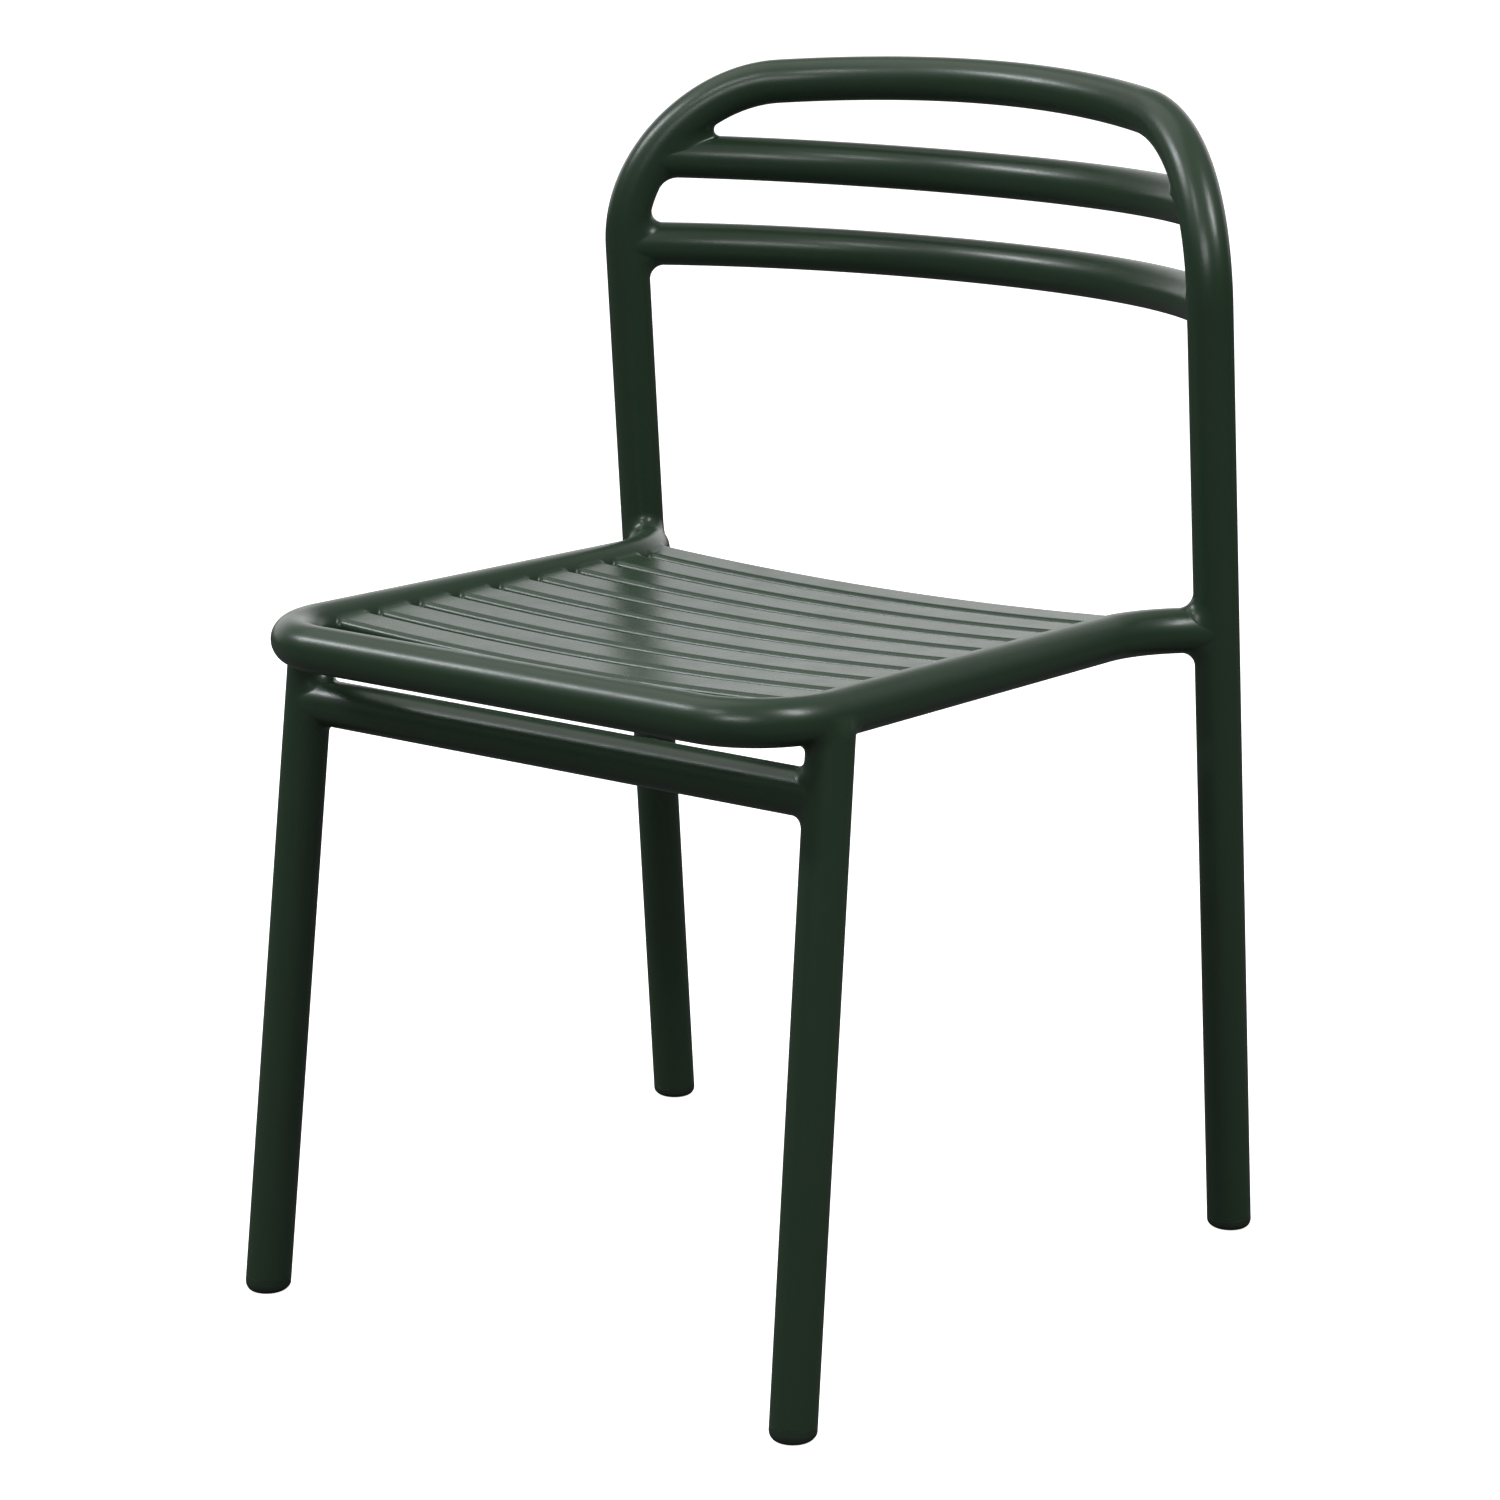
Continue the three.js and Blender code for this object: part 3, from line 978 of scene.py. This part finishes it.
studio = {
    "target": (0.00757, -0.0244, 0.3511),
    "azimuth": 36.2,
    "elevation": 14.5,
    "distance": 3.0204,
    "lens": 110.88,
    "floorHalf": 60.0,
    "floorDrop": 0.0002,  # keeps the feet clear of the paper
    "paper": 1.0,
    "paperGlow": 0.93,
    "bounce": 0.10,  # what the paper throws back up at the chair
    "backdrop": 1.6,
    "backdropSides": (0.40, 0.88),  # how squarely behind the chair the backdrop starts and is full
    "backdropTop": (0.62, 0.24),
    "ceiling": 0.40,
    "ceilingSpan": (0.10, 0.75),
    "room": 0.07,
}


def directionAt(azimuth, elevation):
    a, e = math.radians(azimuth), math.radians(elevation)
    return np.array([math.sin(a) * math.cos(e), -math.cos(a) * math.cos(e), math.sin(e)])


def paperFloor():
    half = studio["floorHalf"]
    level = cadBox[0].z - studio["floorDrop"]
    corners = [(x, y, level) for x, y in ((-half, -half), (half, -half), (half, half), (-half, half))]
    floor = meshOf("paper_floor", corners, [(0, 1, 2, 3)])
    material = bpy.data.materials.new("white studio paper")
    material.use_nodes = True
    tree = material.node_tree
    tree.nodes.clear()
    seen = tree.nodes.new("ShaderNodeLightPath")
    paper = tree.nodes.new("ShaderNodeBsdfDiffuse")
    paper.inputs["Color"].default_value = (0.9, 0.9, 0.9, 1)
    glow = tree.nodes.new("ShaderNodeEmission")
    glow.inputs["Strength"].default_value = studio["paperGlow"]
    lit = tree.nodes.new("ShaderNodeAddShader")
    tree.links.new(paper.outputs[0], lit.inputs[0])
    tree.links.new(glow.outputs[0], lit.inputs[1])
    shade = tree.nodes.new("ShaderNodeBsdfDiffuse")
    shade.inputs["Color"].default_value = (studio["bounce"], studio["bounce"], studio["bounce"], 1)
    choice = tree.nodes.new("ShaderNodeMixShader")
    tree.links.new(seen.outputs["Is Camera Ray"], choice.inputs[0])
    tree.links.new(shade.outputs[0], choice.inputs[1])
    tree.links.new(lit.outputs[0], choice.inputs[2])
    under = tree.nodes.new("ShaderNodeNewGeometry")
    clear = tree.nodes.new("ShaderNodeBsdfTransparent")
    oneSided = tree.nodes.new("ShaderNodeMixShader")  # clear from below, to show the underside
    tree.links.new(under.outputs["Backfacing"], oneSided.inputs[0])
    tree.links.new(choice.outputs[0], oneSided.inputs[1])
    tree.links.new(clear.outputs[0], oneSided.inputs[2])
    output = tree.nodes.new("ShaderNodeOutputMaterial")
    tree.links.new(oneSided.outputs[0], output.inputs["Surface"])
    floor.data.materials.append(material)


def smoothRange(tree, value, ends):
    span = tree.nodes.new("ShaderNodeMapRange")
    span.interpolation_type = "SMOOTHSTEP"
    span.inputs["From Min"].default_value = ends[0]
    span.inputs["From Max"].default_value = ends[1]
    tree.links.new(value, span.inputs["Value"])
    return span.outputs[0]


# a pale backdrop behind the chair, a dimmer ceiling, and a dark room behind the camera
def studioWorld():
    world = bpy.data.worlds.new("studio")
    bpy.context.scene.world = world
    world.use_nodes = True
    tree = world.node_tree
    tree.nodes.clear()
    place = tree.nodes.new("ShaderNodeTexCoord")
    split = tree.nodes.new("ShaderNodeSeparateXYZ")
    tree.links.new(place.outputs["Generated"], split.inputs[0])
    behind = tree.nodes.new("ShaderNodeVectorMath")
    behind.operation = "DOT_PRODUCT"
    tree.links.new(place.outputs["Generated"], behind.inputs[0])
    behind.inputs[1].default_value = tuple(-directionAt(studio["azimuth"], 0))
    wall = smoothRange(tree, behind.outputs["Value"], studio["backdropSides"])
    low = smoothRange(tree, split.outputs["Z"], studio["backdropTop"])
    backdrop = mathNode(tree, "MULTIPLY", wall, low)
    backdrop = mathNode(tree, "MULTIPLY", backdrop, studio["backdrop"])
    ceiling = smoothRange(tree, split.outputs["Z"], studio["ceilingSpan"])
    ceiling = mathNode(tree, "MULTIPLY", ceiling, studio["ceiling"])
    room = mathNode(tree, "ADD", ceiling, studio["room"])
    total = mathNode(tree, "MAXIMUM", backdrop, room)
    soft = tree.nodes.new("ShaderNodeBackground")
    tree.links.new(total, soft.inputs["Strength"])
    white = tree.nodes.new("ShaderNodeBackground")
    white.inputs["Strength"].default_value = studio["paper"]
    seen = tree.nodes.new("ShaderNodeLightPath")
    choice = tree.nodes.new("ShaderNodeMixShader")
    tree.links.new(seen.outputs["Is Camera Ray"], choice.inputs[0])
    tree.links.new(soft.outputs[0], choice.inputs[1])
    tree.links.new(white.outputs[0], choice.inputs[2])
    output = tree.nodes.new("ShaderNodeOutputWorld")
    tree.links.new(choice.outputs[0], output.inputs["Surface"])


# each box hangs in a direction from the chair; lean turns its long side out of level
softboxes = {
    "long strip": {
        "azimuth": -58, "elevation": 39, "distance": 6.0,
        "size": (2.0, 0.5), "lean": 45.5, "radiance": 37, "colour": (0.93, 0.97, 1.0),
    },
    "side box": {
        "azimuth": 95, "elevation": 45, "distance": 3.5,
        "size": (0.5, 1.2), "lean": 0, "radiance": 24, "colour": (0.97, 0.99, 1.0),
    },
    "front box": {
        "azimuth": -8, "elevation": 50, "distance": 3.5,
        "size": (0.4, 0.4), "lean": 0, "radiance": 24, "colour": (0.97, 0.99, 1.0),
    },
    "low box": {
        "azimuth": 24, "elevation": 29, "distance": 3.5,
        "size": (1.6, 0.35), "lean": 0, "radiance": 15, "colour": (0.97, 0.99, 1.0),
    },
    "left wash": {
        "azimuth": -95, "elevation": 64, "distance": 3.5,
        "size": (2.6, 2.6), "lean": 0, "radiance": 0.8, "colour": (1.0, 1.0, 0.96),
    },
}
aimHeight = 0.45  # the boxes hang round this height above the origin


def softbox(name, box):
    light = bpy.data.lights.new(name, "AREA")
    light.shape = "RECTANGLE"
    light.size, light.size_y = box["size"]
    light.energy = box["radiance"] * math.pi * light.size * light.size_y
    light.color = box["colour"]
    lamp = bpy.data.objects.new(name, light)
    bpy.context.scene.collection.objects.link(lamp)
    direction = Vector(directionAt(box["azimuth"], box["elevation"]))
    lamp.location = Vector((0, 0, aimHeight)) + direction * box["distance"]
    lamp.rotation_mode = "QUATERNION"
    turn = Quaternion(direction, math.radians(box["lean"]))
    lamp.rotation_quaternion = turn @ direction.to_track_quat("Z", "Y")


def portraitCamera():
    data = bpy.data.cameras.new("camera")
    data.sensor_width = 36.0
    data.lens = studio["lens"]
    data.clip_start, data.clip_end = 0.05, 200.0
    camera = bpy.data.objects.new("camera", data)
    bpy.context.scene.collection.objects.link(camera)
    back = Vector(directionAt(studio["azimuth"], studio["elevation"]))
    camera.location = Vector(studio["target"]) + back * studio["distance"]
    camera.rotation_mode = "QUATERNION"
    camera.rotation_quaternion = back.to_track_quat("Z", "Y")
    bpy.context.scene.camera = camera


paperFloor()
studioWorld()
for name, box in softboxes.items():
    softbox(name, box)
portraitCamera()
bpy.context.scene.view_settings.view_transform = "Standard"
print("studio lit")
